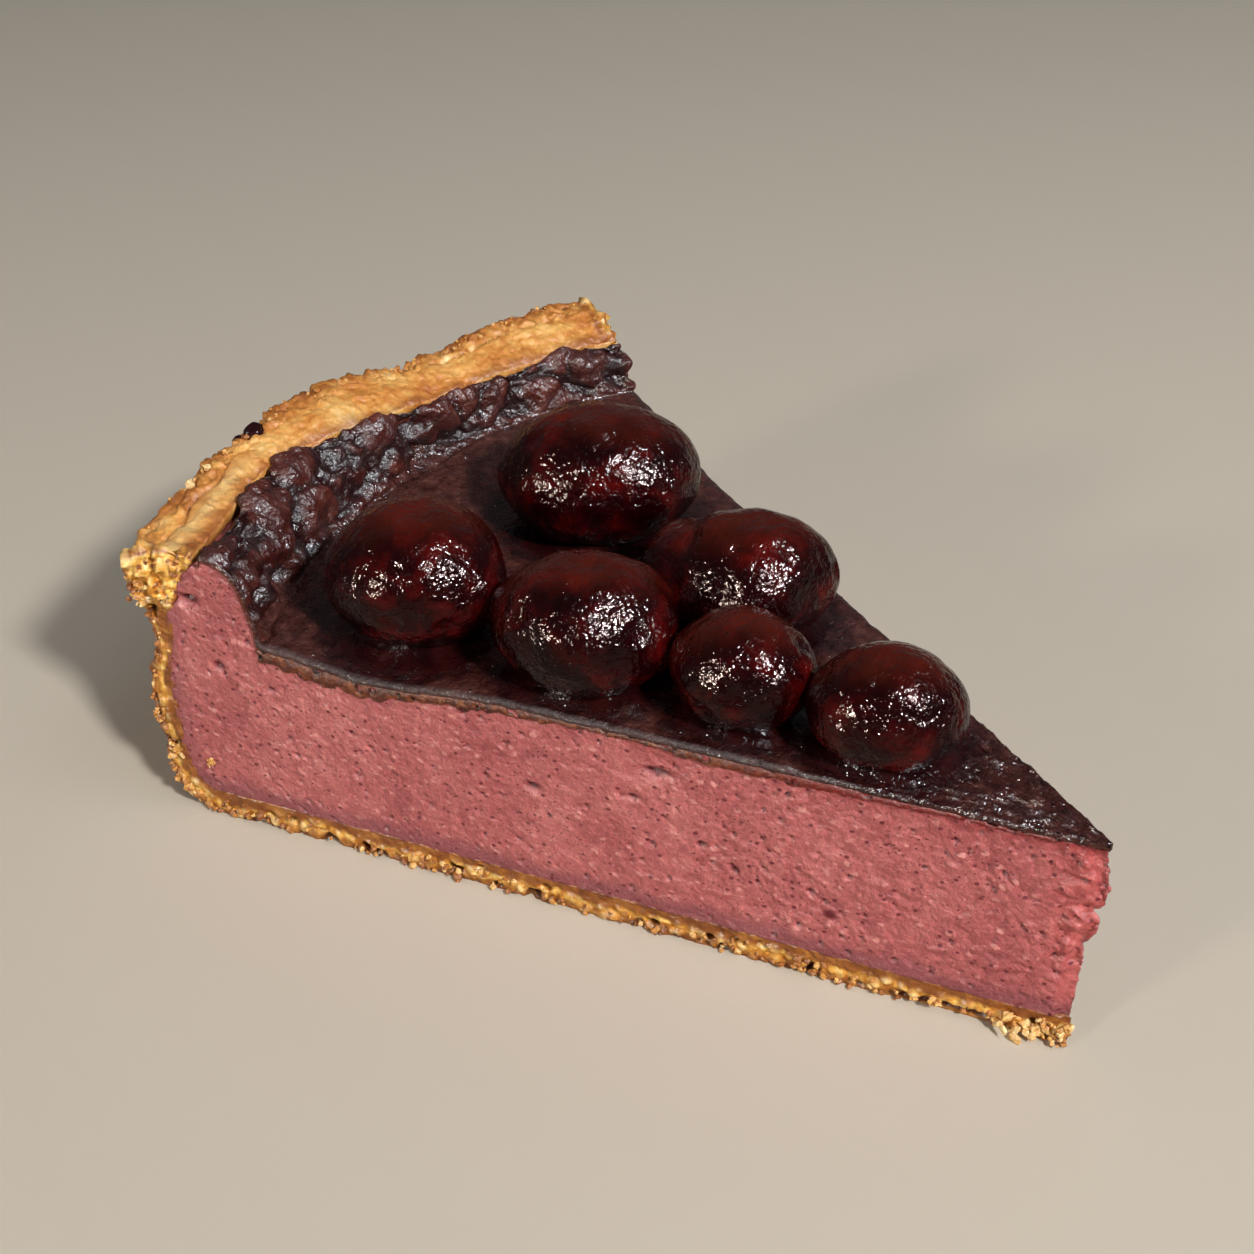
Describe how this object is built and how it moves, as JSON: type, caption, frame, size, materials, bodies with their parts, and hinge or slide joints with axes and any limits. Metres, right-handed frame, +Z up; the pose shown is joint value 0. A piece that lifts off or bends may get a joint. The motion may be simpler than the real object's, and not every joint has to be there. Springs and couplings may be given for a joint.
{
  "type": "slice of blackcurrant custard tart",
  "caption": "Wedge-shaped slice of a deep custard tart in a pastry crust, with a dark fruit topping and large glazed fruits on it.",
  "frame": {"origin": "middle of the slice's footprint, on the face it rests on", "axes": "+X along the middle of the wedge to the cut tip, so the pastry rim is at -X; +Z up; the cut face that the picture shows is at -Y"},
  "size_m": [0.1104, 0.0784, 0.0415],
  "materials": {
    "crust": "baked shortcrust, golden ochre, browner on the outer rim, crumbly where cut",
    "custard": "smooth set custard, dusky pink, moist satin, fine pores and dark specks",
    "topping": "thin baked fruit skin, purple black, satin on the flat, wrinkled and glossier on the slope",
    "fruit": "very dark red fruit under wet clear glaze"
  },
  "bodies": {
    "root": {"crust": "crust", "custard": "custard", "topping": "topping", "berry_1": "fruit", "berry_2": "fruit", "berry_3": "fruit", "berry_4": "fruit", "berry_5": "fruit", "berry_6": "fruit"}
  },
  "joints": []
}
